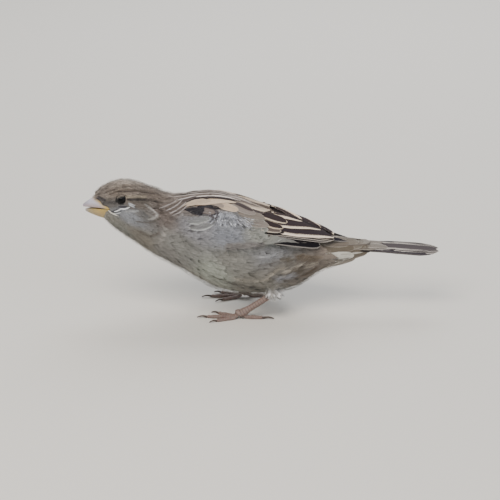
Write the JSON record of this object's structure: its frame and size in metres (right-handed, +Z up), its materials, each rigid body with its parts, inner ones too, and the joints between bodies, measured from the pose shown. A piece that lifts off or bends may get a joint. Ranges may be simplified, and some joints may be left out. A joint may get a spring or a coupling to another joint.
{
  "type": "house sparrow model",
  "caption": "Life-size still model of a female house sparrow, crouched forward on both feet with folded wings, conical bill and narrow notched tail.",
  "frame": {"origin": "on the floor, under the middle of the whole bird's box", "axes": "the bill points along -X and the tail along +X, the bird's right side is +Y, +Z is up"},
  "size_m": [0.1516, 0.0394, 0.0582],
  "materials": {
    "head_plumage": "soft matt plumage, grey-brown",
    "body_plumage": "soft matt plumage, buff-grey below and streaked brown above",
    "wing_feathers": "smooth folded feathers with buff edges",
    "tail_feathers": "smooth folded feathers with pale edges",
    "eye": "wet black gloss",
    "upper_bill": "satin horn, lilac-grey",
    "lower_bill": "satin horn, straw yellow",
    "leg_skin": "scaly skin, pinkish brown",
    "claw_horn": "satin dark horn"
  },
  "bodies": {
    "root": {"head": "head_plumage", "neck": "head_plumage", "trunk": "body_plumage", "tail_base": "body_plumage", "eye_left": "eye", "eye_right": "eye", "bill_upper": "upper_bill", "bill_lower": "lower_bill", "wing_right": "wing_feathers", "wing_left": "wing_feathers", "tail": "tail_feathers", "thigh_left": "body_plumage", "shank_left": "leg_skin", "toe_hind_left": "leg_skin", "claw_hind_left": "claw_horn", "toe_inner_left": "leg_skin", "claw_inner_left": "claw_horn", "toe_middle_left": "leg_skin", "claw_middle_left": "claw_horn", "toe_outer_left": "leg_skin", "claw_outer_left": "claw_horn", "thigh_right": "body_plumage", "shank_right": "leg_skin", "toe_hind_right": "leg_skin", "claw_hind_right": "claw_horn", "toe_inner_right": "leg_skin", "claw_inner_right": "claw_horn", "toe_middle_right": "leg_skin", "claw_middle_right": "claw_horn", "toe_outer_right": "leg_skin", "claw_outer_right": "claw_horn"}
  },
  "joints": []
}
